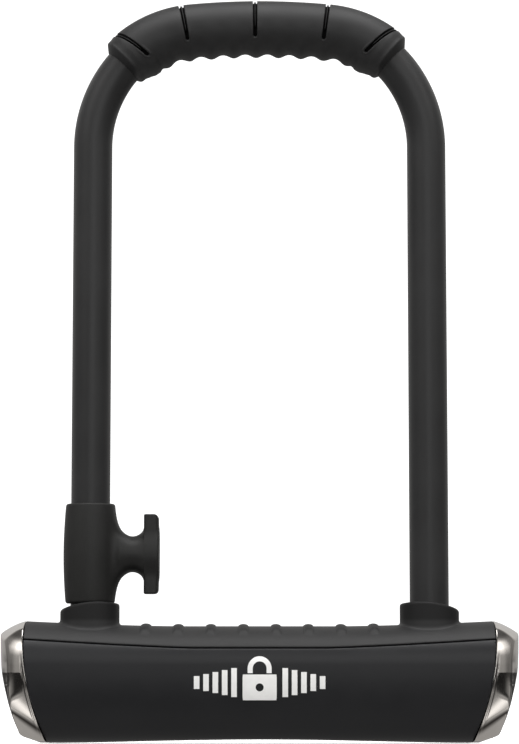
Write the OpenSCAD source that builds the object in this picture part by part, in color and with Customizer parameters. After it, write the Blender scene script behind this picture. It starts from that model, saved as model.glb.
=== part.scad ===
// Shackle (U) bicycle lock: coated steel bow with a rubber handle, locking
// crossbar with bottom keyway, and a carrying bracket collar on one leg.
// X runs along the crossbar, Y is the depth, Z is up. The origin is midway
// between the legs, on the plane the end caps stand on.

/* [Shackle] */
// Clear width between the two coated legs
inner_w = 115; // [113:0.5:117]
// Diameter of the hardened steel bar
bar_d = 14; // [13:0.5:14]
// Thickness of the vinyl coating on the bar
coat_t = 0.5; // [0.4:0.05:0.55]
// Height at which the straight legs turn into the bow
leg_h = 230.5; // [170:0.5:300]
// Height of the feet above the base plane, inside the crossbar
foot_z = 12; // [11.5:0.5:13]
// Half thickness of the locking neck between its two flats
neck_half = 5; // [4.6:0.1:5.2]

/* [Handle] */
// Outer radius of the rubber handle
grip_r = 11.1; // [9.5:0.1:12]
// Number of grooves moulded across the top of the handle
grip_grooves = 5; // [3:2:7]
// Spacing of the finger scallops under the handle
scallop_pitch = 8.8; // [7:0.1:10]

/* [Crossbar] */
// Outer diameter of the crossbar's steel tube
tube_d = 35; // [34:0.5:35]
// Wall thickness of the crossbar's steel tube
tube_wall = 3; // [2.5:0.1:3]
// Height of the tube's axis above the base plane
axis_z = 24; // [23.8:0.1:24.2]
// Half length of the steel tube
tube_half = 88; // [87.5:0.1:88.5]
// Half depth of the covers, front to back
body_half_y = 20; // [19.5:0.5:22]
// Half length over the two end caps
end_x = 99; // [98:0.5:101]
// Number of ridges across the top cover
ridge_count = 8; // [6:2:8]
// Spacing of the ridges
ridge_pitch = 12.4; // [11:0.1:12.6]
// Outer radius of the rubber boots round the legs
boot_r = 11.2; // [10.6:0.1:12]

/* [Lock] */
// Outer diameter of the lock cylinder's housing
housing_d = 24; // [23:0.5:24]
// Bore diameter of the housing
housing_bore = 15; // [14.8:0.1:15.2]
// Number of coded discs in the cylinder
disc_count = 8; // [5:1:8]
// Travel of each locking bolt
bolt_travel = 5.6; // [5.2:0.1:5.6]

/* [Bracket collar] */
// Height of the collar's lower edge
collar_z = 52.9; // [52.9:0.5:90]
// Height of the collar
collar_h = 38.3; // [36.3:0.5:41]
// Height of the bracket's T-head
head_h = 29; // [26:0.5:32]
// Depth of the bracket's T-head, front to back
head_w = 11; // [9:0.5:13]
// Thickness of the bracket's T-head
head_t = 5.2; // [4:0.2:6]

/* [Hidden] */

steel = [0.62, 0.63, 0.65];
nickel = [0.58, 0.56, 0.52];
brass = [0.78, 0.63, 0.32];
rubber = [0.07, 0.07, 0.075];
plastic = [0.045, 0.045, 0.055];
grip_black = [0.1, 0.1, 0.1];
bushing_white = [0.75, 0.75, 0.72];
guide_gray = [0.5, 0.5, 0.52];
liner_gray = [0.2, 0.2, 0.2];
collar_black = [0.09, 0.09, 0.09];

bar_r = bar_d / 2;
coat_r = bar_r + coat_t;
leg_x = inner_w / 2 + coat_r;

// ---------------------------------------------------------------- helpers

// Cylinder rising from height z; the caller sets $fn.
module upright(r, z, h, x = 0) translate([x, 0, z]) cylinder(r = r, h = h);

// Cylinder along Y, centred on the XZ plane; the caller sets $fn.
module y_rod(x, z, r, half)
  translate([x, -half, z]) rotate([-90, 0, 0]) cylinder(r = r, h = 2 * half);

// Cylinder along X on the tube's axis, centred on x.
module tube_rod(r, half, x = 0)
  translate([x - half, 0, axis_z]) rotate([0, 90, 0]) cylinder(r = r, h = 2 * half, $fn = 96);

// Box starting at x and z, centred on Y.
module slab(x, z, size) translate([x, -size[1] / 2, z]) cube(size);

module ring2d(outer_r, inner_r) difference() {
  circle(r = outer_r, $fn = 64);
  circle(r = inner_r, $fn = 64);
}

module at_legs() for (side = [-1, 1]) translate([side * leg_x, 0, 0]) children();

// ---------------------------------------------------------------- shackle

foot_chamfer = 1.6;
flats_z = 26.9; // underside of the neck's flats
flats_h = 5.8;
coat_z = 45.2; // lower edge of the coating
coat_gap = 0.03;

// Half the bow is a corner arc, a shoulder arc and half a flat crown arc, all
// tangent. Angles run from +X towards +Z; centres are [x, z] above leg_h.
corner_end = 36.87;
shoulder_end = 84.55;
corner_r = 50;
shoulder_r = 40;
corner_center = [leg_x - corner_r, 0];
shoulder_center = corner_center
  + (corner_r - shoulder_r) * [cos(corner_end), sin(corner_end)];
crown_r = shoulder_r + shoulder_center[0] / cos(shoulder_end);
crown_center = shoulder_center
  - (crown_r - shoulder_r) * [cos(shoulder_end), sin(shoulder_end)];

// Sweeps a section along one arc of the bow.
module bow_arc(center, r, start, end)
  translate([center[0], 0, center[1]]) rotate([90, 0, 0]) rotate([0, 0, start])
    rotate_extrude(angle = end - start, $fn = 96) translate([r, 0]) children();

// A 1 mm length of straight section, bridging two arcs where they meet.
module bow_joint(center, r, angle)
  translate([center[0] + r * cos(angle), 0, center[1] + r * sin(angle)]) rotate([0, -angle, 0])
    translate([0, 0, -0.5]) linear_extrude(1) children();

module crown_arc() bow_arc(crown_center, crown_r, shoulder_end, 180 - shoulder_end) children();

// Whole bow: the first child is the arcs' section, the second the joints'.
module shackle_bow() translate([0, 0, leg_h]) {
  for (flip = [0, 1]) mirror([flip, 0, 0]) {
    bow_arc(corner_center, corner_r, 0, corner_end) children(0);
    bow_arc(shoulder_center, shoulder_r, corner_end, shoulder_end) children(0);
    bow_joint(corner_center, corner_r, 0) children(1);
    bow_joint(corner_center, corner_r, corner_end) children(1);
    bow_joint(shoulder_center, shoulder_r, shoulder_end) children(1);
  }
  crown_arc() children(0);
}

// Cuts two flats per foot, which the bolt plates slide over.
module neck_cuts()
  at_legs() for (side_y = [-1, 1]) translate([0, side_y * (neck_half + 5), 0])
    slab(-10, flats_z, [20, 10, flats_h]);

module shackle_bar() color(steel) difference() {
  union() {
    at_legs() {
      translate([0, 0, foot_z])
        cylinder(r1 = bar_r - foot_chamfer, r2 = bar_r, h = foot_chamfer, $fn = 64);
      upright(bar_r, foot_z + foot_chamfer, leg_h - foot_z - foot_chamfer, $fn = 64);
    }
    shackle_bow() {
      circle(r = bar_r, $fn = 64);
      circle(r = bar_r + 0.01, $fn = 64);
    }
  }
  neck_cuts();
}

module shackle_coating() color(rubber) {
  at_legs() translate([0, 0, coat_z])
    linear_extrude(leg_h - coat_z) ring2d(coat_r, bar_r + coat_gap);
  shackle_bow() {
    ring2d(coat_r, bar_r + coat_gap);
    ring2d(coat_r + 0.01, bar_r + coat_gap - 0.01);
  }
}

// ---------------------------------------------------------------- handle

grip_start = 43; // angle on the shoulder arc where the handle begins
shoulder_groove_angle = 50.5;
crown_groove_spread = 11.9; // angle between the outermost crown grooves
groove_w = 1.8;
scallop_r = 2.2;

// Round rod along the shoulders and crown, from the start angle.
module grip_rod(r, start) {
  for (flip = [0, 1]) mirror([flip, 0, 0]) {
    bow_arc(shoulder_center, shoulder_r, start, shoulder_end) circle(r = r, $fn = 64);
    bow_joint(shoulder_center, shoulder_r, shoulder_end) circle(r = r + 0.01, $fn = 64);
  }
  crown_arc() circle(r = r, $fn = 64);
}

// Cutter on the outside of an arc, turned from +Z towards +X.
module groove_cut(center, r, turn)
  translate([center[0], 0, center[1]]) rotate([0, turn, 0])
    slab(-groove_w / 2, r + 5, [groove_w, 30, 12]);

module handle_grip() color(grip_black) translate([0, 0, leg_h]) difference() {
  grip_rod(grip_r, grip_start);
  grip_rod(coat_r + 0.05, grip_start - 5);
  // all but two of the grooves are on the crown, then one on each shoulder
  for (i = [-(grip_grooves - 3) / 2 : (grip_grooves - 3) / 2])
    groove_cut(crown_center, crown_r, i * crown_groove_spread / (grip_grooves - 3));
  for (flip = [0, 1]) mirror([flip, 0, 0])
    groove_cut(shoulder_center, shoulder_r, 90 - shoulder_groove_angle);
  // finger scallops under the handle
  for (i = [-3 : 2])
    translate([crown_center[0], 0, crown_center[1]])
      rotate([0, (i + 0.5) * scallop_pitch / (crown_r - grip_r) * 180 / PI, 0])
        y_rod(0, crown_r - grip_r - 1.5, scallop_r, 15, $fn = 32);
}

// ---------------------------------------------------------------- crossbar

tube_r = tube_d / 2;
tube_inner_r = tube_r - tube_wall;
tube_gap = 0.05;
cover_half = 92; // half length the covers are drawn to before trimming
cap_inner_x = 70; // inner limit the caps are drawn to before trimming
widest_z = 29.5; // height at which the crossbar is deepest
cap_screw_x = 84.4;
cover_screw_x = 40;
screw_r = 1.5;
screw_head_r = 3;
bushing_r = 9;
bushing_top = 44.6;
seal_z = 42;
boot_top = 53.6;
boot_arc_r = 38.5; // radius of the boots' domed top
boot_rim = 0.9; // width and height of the rim round the dish
ridge_r = 2.1;
ridge_z = 43.4;
ridge_half = 14.2;
guide_top = 26.7;
pin_x = 9.9;
pin_z = 16;
pin_r = 1.5;
shutter_size = [18, 14, 1.6];
shutter_gap = 0.3;

function signed_pow(value, power) = sign(value) * pow(abs(value), power);

// Rounded section of the crossbar, [y, z], lower part taller than the upper.
body_section = [for (i = [0 : 47]) let (
    angle = 360 * i / 48,
    height = angle < 180 ? 17.5 : 30.3,
    power = angle < 180 ? 0.72 : 0.8)
  [body_half_y * signed_pow(cos(angle), power), widest_z + height * signed_pow(sin(angle), power)]];

// How far the end cap's lower face draws in from end_x at height z.
function end_taper(z) = let (drop = max(0, (36 - z) / 36)) 8.3 * drop * drop + 6 * pow(drop, 7);
// Split line between covers and caps.
function split_x(z) = 89 - 8.9 * pow(max(0, (41 - z) / 41), 1.6);
// Line between the top and lower covers, and the covers' outer edges.
function parting_z(x) = 36 + 3.5 * pow(min(1, abs(x) / 89), 1.7);
function top_z(x) = 44.4 + 1.9 * pow(min(1, max(0, (abs(x) - 30) / 59)), 1.5);
function base_z(x) = abs(x) < 76 ? 0.25 + 1.25 * pow(cos(90 * x / 76), 1.5) : 0.25;

cover_xs = [for (i = [-24 : 24]) i * cover_half / 24];
cover_xs_back = [for (i = [24 : -1 : -24]) i * cover_half / 24];
split_zs = [for (i = [0 : 16]) -1 + i * 3];
split_zs_back = [for (i = [16 : -1 : 0]) -1 + i * 3];

// Side outline of the +X end cap, [x, z].
cap_outline = concat(
  [[cap_inner_x, 0], [end_x - 16.5, 0], [end_x - 14, 0.6], [end_x - 11.5, 1.9]],
  [for (i = [0 : 14]) let (z = 3.2 + i * 2.34) [end_x - end_taper(z), z]],
  [[end_x - 0.1, 38.9], [end_x - 1.1, 41.7], [end_x - 2.9, 43.45],
   [end_x - 6.4, 45.2], [end_x - 9.4, 46.3], [cap_inner_x, 46.4]]);

// Plan outline of the +X end cap, [x, y], rounded from front to back.
cap_plan = concat([[60, -30], [60, 30]],
  [for (i = [0 : 24]) let (angle = 90 - i * 7.5)
    [end_x - 26 + 26 * signed_pow(cos(angle), 0.62),
     1.05 * body_half_y * signed_pow(sin(angle), 0.75)]]);

module along_y(half)
  translate([0, half, 0]) rotate([90, 0, 0]) linear_extrude(2 * half) children();

module body_block(start_x, stop_x)
  translate([start_x, 0, 0]) rotate([90, 0, 90]) linear_extrude(stop_x - start_x)
    polygon(body_section);

// Side view between the two split lines, drawn in by the gap.
module waist(gap) polygon(concat(
  [for (z = split_zs) [-split_x(z) + gap, z]],
  [for (z = split_zs_back) [split_x(z) - gap, z]]));

module pin_holes()
  for (side = [-1, 1]) y_rod(side * pin_x, pin_z, pin_r + 0.02, 20, $fn = 32);

module crossbar_tube() color(steel) difference() {
  tube_rod(tube_r, tube_half);
  tube_rod(tube_inner_r, tube_half + 1);
  at_legs() upright(bushing_r + 0.05, axis_z, 40, $fn = 64);
  pin_holes();
  for (side = [-1, 1], x = [cover_screw_x, cap_screw_x])
    upright(screw_r + 0.03, 0, 12, side * x, $fn = 32);
  upright(housing_d / 2 + 0.05, 0, 23, $fn = 64);
}

// Disc closing the tube, standing 0.4 proud of its end.
module end_plug(side) color(steel) difference() {
  tube_rod(tube_inner_r - 0.02, 1.5, side * (tube_half - 1.1));
  upright(2.2, 0, 13, side * cap_screw_x, $fn = 32);
}
module left_end_plug() end_plug(-1);
module right_end_plug() end_plug(1);

// Cast end cap, drawn for the +X side.
module end_cap_solid() difference() {
  intersection() {
    body_block(cap_inner_x, 110);
    along_y(40) polygon(cap_outline);
    translate([0, 0, -1]) linear_extrude(60) polygon(cap_plan);
  }
  along_y(50) waist(-0.1);
  tube_rod(tube_r + tube_gap, tube_half + 0.5);
  upright(1.9, -1, 12, cap_screw_x, $fn = 32);
  upright(screw_head_r + 0.3, -1, 3.4, cap_screw_x, $fn = 32);
}
module left_end_cap() color(nickel) mirror([1, 0, 0]) end_cap_solid();
module right_end_cap() color(nickel) end_cap_solid();

// Two countersunk screws at +x and -x, each standing on its head.
module screw_pair(x, z, head_h, length)
  for (side = [-1, 1]) translate([side * x, 0, z]) difference() {
    union() {
      cylinder(r = screw_head_r, h = head_h * 0.4, $fn = 32);
      translate([0, 0, head_h * 0.4])
        cylinder(r1 = screw_head_r, r2 = screw_r, h = head_h * 0.6, $fn = 32);
      cylinder(r = screw_r, h = length, $fn = 32);
    }
    upright(screw_head_r * 0.45, -0.1, 1.3, $fn = 6);
  }
module cap_screws() color(steel)
  screw_pair(x = cap_screw_x, z = 0.5, head_h = 1.8, length = 9.9);
module cover_screws() color(steel)
  screw_pair(x = cover_screw_x, z = 1.7, head_h = 1.9, length = 8.8);

// Boot round one leg, under a domed top.
module boot(side) intersection() {
  upright(boot_r, 30, 30, side * leg_x, $fn = 64);
  y_rod(side * (leg_x - 4), boot_top - boot_arc_r, boot_arc_r, 30, $fn = 96);
  slab(side * leg_x - 20, parting_z(leg_x) + 1, [40, 40, 30]);
}

module top_cover() color(rubber) difference() {
  union() {
    intersection() {
      body_block(-cover_half, cover_half);
      along_y(40) polygon(concat(
        [for (x = cover_xs) [x, parting_z(x) + 0.1]],
        [for (x = cover_xs_back) [x, top_z(x)]]));
      along_y(40) waist(0.1);
    }
    for (side = [-1, 1]) boot(side);
    for (i = [0 : ridge_count - 1])
      y_rod((i - (ridge_count - 1) / 2) * ridge_pitch, ridge_z, ridge_r, ridge_half, $fn = 32);
  }
  tube_rod(tube_r + tube_gap, 100);
  at_legs() {
    upright(coat_r + 0.06, 30, 40, $fn = 64);
    upright(bushing_r + 0.06, 30, bushing_top + 0.2 - 30, $fn = 64);
    // dished top inside the boot's rim
    upright(boot_r - boot_rim, boot_top - boot_rim, 20, $fn = 64);
  }
}

module lower_cover() color(plastic) difference() {
  intersection() {
    body_block(-cover_half, cover_half);
    along_y(40) polygon(concat(
      [for (x = cover_xs) [x, base_z(x)]],
      [for (x = cover_xs_back) [x, parting_z(x) - 0.1]]));
    along_y(40) waist(0.1);
  }
  tube_rod(tube_r + tube_gap, 100);
  // pocket and window of the keyway shutter, longer than it towards +X
  slab(-shutter_size[0] / 2 - shutter_gap, 2.4, [31.9, shutter_size[1] + 2 * shutter_gap, 1.9]);
  slab(-7.6, -1, [28.2, 10, 5]);
  // the cylinder's opening
  upright(housing_d / 2 + 0.1, 4.2, 10, $fn = 64);
  for (side = [-1, 1]) {
    upright(screw_r + 0.1, 0, 12, side * cover_screw_x, $fn = 32);
    upright(screw_head_r + 0.2, -1, 4.7, side * cover_screw_x, $fn = 32);
    // room for the cap screws' heads near the cover's ends
    upright(screw_head_r + 0.4, -1, 12, side * cap_screw_x, $fn = 32);
  }
}

// Sleeve round a leg, with an inner groove for the seal.
module bushing(side) color(bushing_white) translate([side * leg_x, 0, 0]) difference() {
  upright(bushing_r, flats_z + flats_h, bushing_top - flats_z - flats_h, $fn = 64);
  upright(bar_r + 0.08, 30, 20, $fn = 64);
  upright(bar_r + 1.35, seal_z - 0.8, 1.6, $fn = 64);
}
module left_bushing() bushing(-1);
module right_bushing() bushing(1);

module foot_seals() color(rubber) at_legs() translate([0, 0, seal_z])
  rotate_extrude($fn = 96) translate([bar_r + 0.68, 0]) circle(r = 0.62, $fn = 32);

// Support block under each bolt, with the socket for the foot.
module foot_guide(side) color(guide_gray) difference() {
  intersection() {
    tube_rod(tube_inner_r - 0.03, 13, side * 66);
    slab(-100, 0, [200, 40, guide_top]);
  }
  upright(bar_r + 0.1, foot_z - 0.15, 30, side * leg_x, $fn = 64);
}
module left_foot_guide() foot_guide(-1);
module right_foot_guide() foot_guide(1);

// ---------------------------------------------------------------- lock

lock_top = 22.2; // top of the housing and of the plug's barrel
plug_r = housing_bore / 2 - 0.05;
journal_r = 4.5; // round neck on top of the plug
journal_h = 1.2;
drive_w = 5; // square on the plug that turns the cam
disc_r = 6.1;
stack_z = 7.25; // underside of the lowest coded disc
disc_pitch = 13.6 / disc_count;
sidebar_angle = 215;

module cylinder_housing() color(brass) difference() {
  upright(housing_d / 2, 4.4, lock_top - 4.4, $fn = 64);
  upright(housing_bore / 2, 3, 30, $fn = 64);
  // groove that takes the sidebar while the lock is shut
  rotate([0, 0, sidebar_angle]) slab(0, 6, [housing_bore / 2 + 1.2, 2.2, 14.5]);
  pin_holes();
}

module housing_pins() color(steel)
  for (side = [-1, 1]) y_rod(side * pin_x, pin_z, pin_r, 14.6, $fn = 32);

module key_slot(z) slab(-1.5, z, [3, 7.8, 3]);

module cylinder_plug() color(brass) difference() {
  union() {
    upright(plug_r, 4.5, lock_top - 4.5, $fn = 64);
    upright(journal_r, lock_top, journal_h, $fn = 64);
    slab(-drive_w / 2, lock_top + journal_h, [drive_w, drive_w, 3.2]);
  }
  upright(disc_r + 0.1, 5.6, 15.6, $fn = 64);
  key_slot(4);
  rotate([0, 0, sidebar_angle]) slab(5.5, 6.4, [4, 2, 13.8]);
}

module anti_drill_disc() color(steel) difference() {
  upright(disc_r, 5.7, 1.4, $fn = 64);
  key_slot(5);
}

module code_discs() color(steel)
  for (i = [0 : disc_count - 1]) translate([0, 0, stack_z + i * disc_pitch]) difference() {
    cylinder(r = disc_r, h = disc_pitch - 0.6, $fn = 64);
    slab(-1.4, -1, [2.8, 7.4, 5]);
    // sidebar notch, cut where the right key turns it under the sidebar
    rotate([0, 0, sidebar_angle]) slab(disc_r - 1, -1, [3, 2.2, 5]);
    // false notch at this disc's own code angle
    rotate([0, 0, 20 + 17 * ((i * 5) % disc_count)]) slab(disc_r - 0.5, -1, [3, 1.6, 5]);
  }

module disc_spacers() color(brass)
  for (i = [0 : disc_count - 2]) translate([0, 0, stack_z + (i + 1) * disc_pitch - 0.55])
    linear_extrude(0.5) difference() {
      ring2d(disc_r, 4.4);
      rotate([0, 0, sidebar_angle]) translate([disc_r - 1, -1.1]) square([3, 2.2]);
    }

module sidebar() color(steel)
  rotate([0, 0, sidebar_angle]) slab(5.3, stack_z, [1.95, 1.8, 12.7]);

// Flat ring round the plug's journal, open towards +Y.
module retaining_clip() color(steel) translate([0, 0, lock_top + 0.2]) difference() {
  cylinder(r = 7.2, h = 0.8, $fn = 64);
  upright(journal_r + 0.05, -1, 3, $fn = 64);
  rotate([0, 0, 90]) slab(0, -1, [9, 4.4, 3]);
}

// Spiral slot: the pin's distance grows in step with the turn.
cam_pin_x = 5.6; // nearest distance of the bolt pin from the lock's axis
cam_slot_half = 1.9;

// Point on the spiral after a turn, offset square to the spiral.
function cam_point(turn, offset) = let (
    reach = cam_pin_x + bolt_travel * turn / 90,
    growth = bolt_travel * 2 / PI,
    norm = sqrt(reach * reach + growth * growth))
  [reach * cos(turn) + offset * (growth * sin(turn) + reach * cos(turn)) / norm,
   -reach * sin(turn) + offset * (growth * cos(turn) - reach * sin(turn)) / norm];

module cam_slot() {
  polygon(concat(
    [for (i = [0 : 24]) cam_point(i * 3.75, cam_slot_half)],
    [for (i = [24 : -1 : 0]) cam_point(i * 3.75, -cam_slot_half)]));
  for (turn = [0, 90]) translate(cam_point(turn, 0)) circle(r = cam_slot_half + 0.04, $fn = 48);
}

module cam() color(steel) translate([0, 0, 23.6]) linear_extrude(2.9) difference() {
  circle(r = 13.8, $fn = 96);
  square(drive_w + 0.1, center = true);
  cam_slot();
  rotate([0, 0, 180]) cam_slot();
}

// Bolt plate with a keyhole that closes on the neck of the foot, +X side.
// Its round hole is in line with the leg, and the slot runs inward from it.
module bolt_solid() {
  difference() {
    slab(2.2, flats_z + 0.4, [73.1, 21, flats_h - 0.8]);
    upright(bar_r + 0.3, 20, 20, leg_x, $fn = 64);
    slab(leg_x - 14, 20, [14, 2 * neck_half + 0.3, 20]);
    // window between the cam and the keyhole
    slab(16, 20, [28, 10, 20]);
  }
  // pin that rides in the cam's slot
  upright(1.75, 23.8, 4.5, cam_pin_x, $fn = 48);
}
module left_bolt() color(steel) mirror([1, 0, 0]) bolt_solid();
module right_bolt() color(steel) bolt_solid();

// Plate over the keyway, with five ribs underneath.
module dust_shutter() color(plastic) {
  slab(-shutter_size[0] / 2, 2.5, shutter_size);
  for (i = [-2 : 2]) slab(i * 2.6 - 0.7, 1.9, [1.4, 8.8, 0.9]);
}

// ---------------------------------------------------------------- bracket

head_reach = 26.4; // from the leg's axis to the head's outer face
head_x = head_reach - leg_x;
head_round = 2.2; // rounding of the head's outer edges
neck_r = 6.6;
neck_z = collar_z + 19;
collar_fillet = 6;
head_fillet = 5;
fillet_end = 21.2; // end of the head's fillet, from the leg's axis

// Half section of the collar, [radius, height], bulging at mid height.
collar_profile = concat([[0, 0]],
  [for (i = [0 : 20]) let (part = i / 20, edge = min(1, 6 * part, 6 * (1 - part)))
    [coat_r + 1.25 + 0.4 * sqrt(edge) + 1.05 * pow(sin(180 * part), 0.8), collar_h * part]],
  [[0, collar_h]]);

// Half section of the neck's two fillets, [radius, distance from leg axis].
fillet_profile = concat([[0, 0], [neck_r + collar_fillet, 0]],
  [for (i = [0 : 8]) let (angle = i * 11.25)
    [neck_r + collar_fillet * (1 - sin(angle)), 15.4 - collar_fillet * cos(angle)]],
  [for (i = [8 : -1 : 0]) let (angle = i * 11.25)
    [neck_r + head_fillet * (1 - sin(angle)), fillet_end - head_fillet * (1 - cos(angle))]],
  [[0, fillet_end]]);

module bracket_liner() color(liner_gray) translate([-leg_x, 0, collar_z + 0.3]) difference() {
  cylinder(r = coat_r + 0.9, h = collar_h - 0.6, $fn = 64);
  upright(coat_r + 0.06, -1, collar_h + 2, $fn = 64);
}

// Wide fillets at both ends of the neck, with flat sides.
module neck_fillets() intersection() {
  translate([-leg_x, 0, neck_z]) rotate([0, 90, 0]) rotate_extrude($fn = 96)
    polygon(fillet_profile);
  union() {
    slab(-leg_x, neck_z - 20, [16, 2 * neck_r + 1.2, 40]);
    slab(-leg_x, neck_z - 20, [24, head_w, 40]);
  }
}

module hammer_head()
  translate([0, 0, neck_z]) rotate([90, 0, 0]) linear_extrude(head_w, center = true) {
    translate([head_x - head_t, -head_h / 2]) square([head_t - head_round, head_h]);
    translate([head_x - head_round - 0.1, head_round - head_h / 2])
      square([head_round + 0.1, head_h - 2 * head_round]);
    for (side = [-1, 1])
      translate([head_x - head_round, side * (head_h / 2 - head_round)])
        circle(r = head_round, $fn = 48);
  }

module bracket_collar() color(collar_black) difference() {
  union() {
    translate([-leg_x, 0, collar_z]) rotate_extrude($fn = 96) polygon(collar_profile);
    // round neck running through to the head's face
    translate([-leg_x, 0, neck_z]) rotate([0, 90, 0])
      cylinder(r = neck_r, h = head_reach, $fn = 96);
    neck_fillets();
    hammer_head();
  }
  upright(coat_r + 0.95, collar_z - 1, collar_h + 2, -leg_x, $fn = 64);
  // threaded hole of the clamping screw, on the +Y side
  translate([-leg_x, 5, neck_z]) rotate([-90, 0, 0]) cylinder(r = 1.55, h = 10, $fn = 32);
}

// Clamping screw with a hexagonal socket facing +Y.
module collar_screw() color(steel)
  translate([-leg_x, coat_r + 1.1, neck_z]) rotate([-90, 0, 0]) difference() {
    cylinder(r = 1.5, h = 1.5, $fn = 32);
    upright(0.9, 0.6, 2, $fn = 6);
  }

shackle_bar();
shackle_coating();
handle_grip();
crossbar_tube();
left_end_plug();
right_end_plug();
left_end_cap();
right_end_cap();
cap_screws();
top_cover();
lower_cover();
cover_screws();
left_bushing();
right_bushing();
foot_seals();
left_foot_guide();
right_foot_guide();
cylinder_housing();
housing_pins();
cylinder_plug();
anti_drill_disc();
code_discs();
disc_spacers();
sidebar();
retaining_clip();
cam();
left_bolt();
right_bolt();
dust_shutter();
bracket_liner();
bracket_collar();
collar_screw();
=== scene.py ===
# A U-lock standing upright. The crossbar lies along X with an end cap at each end, the coated
# bow rises along +Z with a rubber grip on its crown, and a bracket collar sits on the left
# (-X) leg. The front faces -Y. Modelling is in millimetres in the CAD frame.
import math
import bmesh
import bpy
import numpy as np
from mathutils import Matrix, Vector


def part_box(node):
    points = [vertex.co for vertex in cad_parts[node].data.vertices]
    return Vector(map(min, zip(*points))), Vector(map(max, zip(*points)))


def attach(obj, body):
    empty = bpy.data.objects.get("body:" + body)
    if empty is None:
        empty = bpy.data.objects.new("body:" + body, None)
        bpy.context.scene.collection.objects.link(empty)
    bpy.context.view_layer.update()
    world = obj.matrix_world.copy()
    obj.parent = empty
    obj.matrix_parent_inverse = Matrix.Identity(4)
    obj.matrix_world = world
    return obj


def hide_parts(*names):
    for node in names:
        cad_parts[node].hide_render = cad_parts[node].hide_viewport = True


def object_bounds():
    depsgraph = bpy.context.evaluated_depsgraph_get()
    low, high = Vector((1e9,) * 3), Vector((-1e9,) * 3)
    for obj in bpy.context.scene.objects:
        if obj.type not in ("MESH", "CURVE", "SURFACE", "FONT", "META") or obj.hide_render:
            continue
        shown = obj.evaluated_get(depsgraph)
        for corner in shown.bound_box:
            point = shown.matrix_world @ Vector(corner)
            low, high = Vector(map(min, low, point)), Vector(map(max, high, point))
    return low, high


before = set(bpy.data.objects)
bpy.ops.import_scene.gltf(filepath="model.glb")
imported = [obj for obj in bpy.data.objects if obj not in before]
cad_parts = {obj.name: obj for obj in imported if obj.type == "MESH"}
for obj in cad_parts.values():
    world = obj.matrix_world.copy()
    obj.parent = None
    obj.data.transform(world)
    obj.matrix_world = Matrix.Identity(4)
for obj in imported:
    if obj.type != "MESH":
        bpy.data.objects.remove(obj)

CAD_LOW, CAD_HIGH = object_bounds()
MM = 0.001
COARSEN = 1.0                 # grid step factor
scene = bpy.context.scene

# ------------------------------------------------------------------ sizes
CAD_COAT_R = 7.51
coat_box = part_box("shackle_coating")
leg_axis = (coat_box[1].x - coat_box[0].x) / 2 / MM - CAD_COAT_R
LEG_X = round(leg_axis * 2) / 2                      # to the nearest half millimetre
BAR_R, COAT_R = 7.0, 7.5

# The bow: straight legs, then a low, a middle and a crown arc, mirrored in X.
LEG_TOP_Z, LEG_END_Z = 230.5, 45.2
LOW_R, MID_R = 50.0, 40.0
LOW_ANGLE, MID_ANGLE = math.radians(36.87), math.radians(84.55)     # where these arcs end
LOW_X, LOW_Z = LEG_X - LOW_R, LEG_TOP_Z
MID_X = LOW_X + (LOW_R - MID_R) * math.cos(LOW_ANGLE)
MID_Z = LOW_Z + (LOW_R - MID_R) * math.sin(LOW_ANGLE)
CROWN_R = MID_R + MID_X / math.cos(MID_ANGLE)
CROWN_X, CROWN_Z = 0.0, MID_Z - (CROWN_R - MID_R) * math.sin(MID_ANGLE)
# distance along the bow from its middle to the end of each arc
CROWN_END = CROWN_R * (math.pi / 2 - MID_ANGLE)
MID_END = CROWN_END + MID_R * (MID_ANGLE - LOW_ANGLE)
LOW_END = MID_END + LOW_R * LOW_ANGLE

# Crossbar
BAR_END_X = CAD_HIGH.x / MM
BODY_Y = 20.0                                        # half depth at the widest height
WIDE_Z = 29.5
LOWER_H = 30.3                                       # from the widest height to the bottom
UPPER_POWER, LOWER_POWER = 2.2, 2.5                  # superellipse powers of the section
AXIS_Z, TUBE_R = 24.0, 17.5
CAP_SCREW_X = 84.4
COVER_SCREW_X = 40

# Bracket collar
collar_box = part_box("bracket_collar")
COLLAR_Z0, COLLAR_Z1 = collar_box[0].z / MM, collar_box[1].z / MM
HEAD_X1 = collar_box[1].x / MM
HEAD_W = 11.0
NECK_R = 6.6
NECK_Z = COLLAR_Z0 + 19.0


# ------------------------------------------------------------------ fields
# A field takes an (n, 3) array of points and is negative inside the solid.
def soft_min(a, b, width):
    mix = np.clip(0.5 + 0.5 * (b - a) / width, 0.0, 1.0)
    return b * (1 - mix) + a * mix - width * mix * (1 - mix)


def soft_max(a, b, width):
    return -soft_min(-a, -b, width)


def cut(solid, hole, soft=None):
    """The solid less the hole, its edge rounded over the soft width."""
    return np.maximum(solid, -hole) if soft is None else soft_max(solid, -hole, soft)


def ease(start, end, value):
    """Smooth step from 0 at start to 1 at end."""
    t = np.clip((value - start) / (end - start), 0.0, 1.0)
    return t * t * (3 - 2 * t)


def box_field(points, low, high):
    low, high = np.array(low, float), np.array(high, float)
    return np.max(np.abs(points - (low + high) / 2) - (high - low) / 2, axis=1)


def tube_bore(points):
    """Clearance hole round the crossbar tube."""
    return np.hypot(points[:, 1], points[:, 2] - AXIS_Z) - (TUBE_R + 0.05)


# ------------------------------------------------------------------ mesher
CORNERS = [np.array((x, y, z)) for z in (0, 1) for y in (0, 1) for x in (0, 1)]
EDGES = [(corner, step)
         for axis, step in enumerate(np.eye(3, dtype=int))
         for corner in CORNERS if corner[axis] == 0]
BLOCK = 8                                            # grid points along a sampling block
BATCH = 600                                          # blocks sampled at once


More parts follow.
